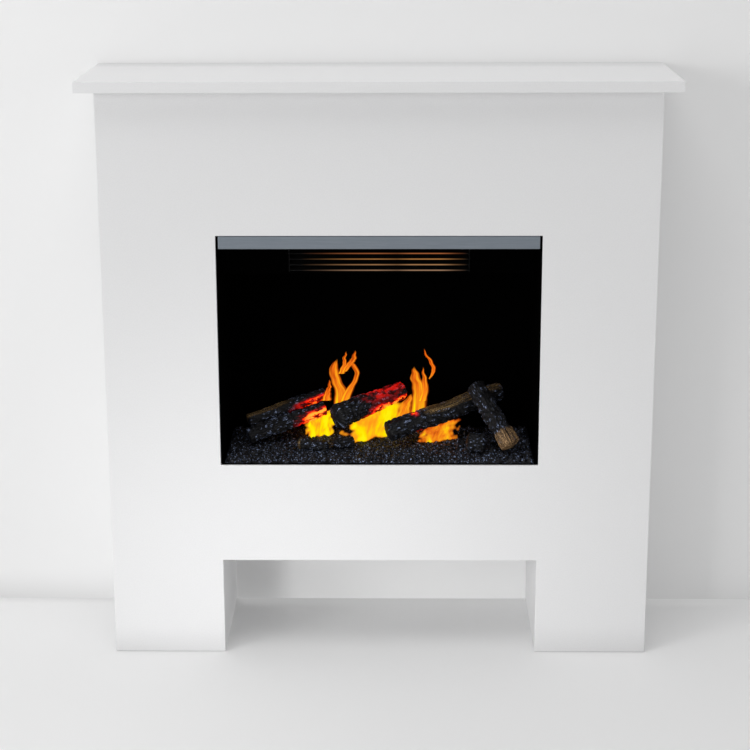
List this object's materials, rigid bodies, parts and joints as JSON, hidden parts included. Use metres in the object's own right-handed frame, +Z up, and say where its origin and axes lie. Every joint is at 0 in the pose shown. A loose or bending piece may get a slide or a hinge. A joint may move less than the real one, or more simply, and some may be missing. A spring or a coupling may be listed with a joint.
{
  "type": "electric fireplace",
  "caption": "Free-standing electric fireplace: a plain white mantel with a shelf and a gap between its legs, around a water-mist flame engine with logs, embers and a fan heater.",
  "frame": {"origin": "on the floor under the middle of the bounding box", "axes": "+X to the right seen from the room, -Y towards the room, +Z up"},
  "size_m": [1.06, 0.3, 1.08],
  "materials": {
    "white_lacquer": "satin white lacquer on fibreboard",
    "raw_board": "uncoated board",
    "rear_hardboard": "pale coated hardboard",
    "glide_plastic": "matt",
    "zinc_plated_steel": "bright zinc",
    "galvanised_steel": "galvanised",
    "black_steel": "matt black",
    "grey_strip": "satin blue-grey",
    "gloss_black": "gloss black",
    "aluminium": "mill",
    "motor_steel": "satin",
    "bronze": "sintered",
    "dark_moulding": "matt",
    "transducer_ceramic": "matt",
    "filter_foam": "open foam in a frame",
    "tank_plastic": "smoky translucent",
    "stainless": "polished",
    "lamp_glass": "clear",
    "transformer_core": "varnished laminations",
    "circuit_board": "solder mask",
    "rocker_red": "gloss",
    "cable_black": "matt",
    "amber_tray": "translucent amber",
    "ember_resin": "rough black cinders with blue-white ash",
    "log_resin": "charred bark, ash and glowing red"
  },
  "bodies": {
    "root": {"mantel_shelf": "white_lacquer", "front_panel": "white_lacquer", "side_panel_left": "white_lacquer", "side_panel_right": "white_lacquer", "leg_inner_panel_left": "white_lacquer", "leg_inner_panel_right": "white_lacquer", "bridge_board": "white_lacquer", "top_rails": "raw_board", "leg_base_boards": "raw_board", "corner_battens": "raw_board", "rear_panel": "rear_hardboard", "glides": "glide_plastic", "fixing_screws": "zinc_plated_steel", "shelf_screws": "zinc_plated_steel", "wall_brackets": "zinc_plated_steel", "engine_base_pan": "galvanised_steel", "engine_front_sheet": "galvanised_steel", "engine_back": "galvanised_steel", "engine_lid": "galvanised_steel", "lamp_rail": "galvanised_steel", "heater_housing": "galvanised_steel", "engine_side_left": "black_steel", "engine_side_right": "black_steel", "firebox_back": "black_steel", "firebox_ceiling": "black_steel", "heater_front_plate": "black_steel", "deck_plate": "black_steel", "fascia_strip": "grey_strip", "outlet_grille": "gloss_black", "heating_element": "aluminium", "heater_motor": "motor_steel", "heater_bearing": "bronze", "sump": "dark_moulding", "mist_nozzle": "dark_moulding", "mist_fan_housing": "dark_moulding", "mains_inlet": "dark_moulding", "switch_panel": "dark_moulding", "mist_transducer": "transducer_ceramic", "lamps": "lamp_glass", "transformer": "transformer_core", "control_board": "circuit_board", "wiring_loom": "cable_black"},
    "heater_fan": {"heater_impeller": "aluminium", "heater_shaft": "zinc_plated_steel"},
    "mist_fan": {"mist_fan_rotor": "dark_moulding"},
    "fuel_bed": {"ember_tray": "amber_tray", "ember_bed": "ember_resin", "log_left": "log_resin", "log_centre": "log_resin", "log_right": "log_resin", "log_cross": "log_resin", "ember_chunks": "ember_resin"},
    "tank": {"water_tank": "tank_plastic"},
    "tank_cap": {"tank_cap": "dark_moulding"},
    "tank_valve": {"tank_valve": "stainless"},
    "filter": {"air_filter": "filter_foam"},
    "rocker": {"power_rocker": "rocker_red"},
    "heat_button": {"heat_button": "dark_moulding"},
    "flame_button": {"flame_button": "dark_moulding"}
  },
  "joints": [
    {"name": "heater_fan_spin", "type": "hinge", "parent": "root", "child": "heater_fan", "pos_m": [0, 0.062, 0.83], "axis": [1, 0, 0], "continuous": true},
    {"name": "mist_fan_spin", "type": "hinge", "parent": "root", "child": "mist_fan", "pos_m": [0.1, 0.034, 0.272], "axis": [1, 0, 0], "continuous": true},
    {"name": "fuel_bed_lift", "type": "slide", "parent": "root", "child": "fuel_bed", "axis": [0, 0, 1], "range_m": [0, 0.18]},
    {"name": "water_tank_lift", "type": "slide", "parent": "root", "child": "tank", "axis": [0, 0, 1], "range_m": [0, 0.126]},
    {"name": "tank_cap_turn", "type": "hinge", "parent": "tank", "child": "tank_cap", "pos_m": [-0.203, 0.0425, 0.2245], "axis": [0, 0, 1], "range_deg": [0, 90]},
    {"name": "tank_valve_press", "type": "slide", "parent": "tank_cap", "child": "tank_valve", "axis": [0, 0, 1], "range_m": [0, 0.003], "stiffness_N_per_m": 120, "springref_m": -0.002},
    {"name": "air_filter_lift", "type": "slide", "parent": "root", "child": "filter", "axis": [0, 0, 1], "range_m": [0, 0.108]},
    {"name": "power_rocker_tilt", "type": "hinge", "parent": "root", "child": "rocker", "pos_m": [0.205, -0.078, 0.7805], "axis": [1, 0, 0], "range_deg": [0, 16]},
    {"name": "heat_button_press", "type": "slide", "parent": "root", "child": "heat_button", "axis": [0, 0, 1], "range_m": [0, 0.0012], "stiffness_N_per_m": 300, "springref_m": -0.001},
    {"name": "flame_button_press", "type": "slide", "parent": "root", "child": "flame_button", "axis": [0, 0, 1], "range_m": [0, 0.0012], "stiffness_N_per_m": 300, "springref_m": -0.001}
  ],
  "couplings": [
    {"joint": "water_tank_lift", "follows": "fuel_bed_lift", "ratio": 0.7},
    {"joint": "air_filter_lift", "follows": "fuel_bed_lift", "ratio": 0.6}
  ]
}
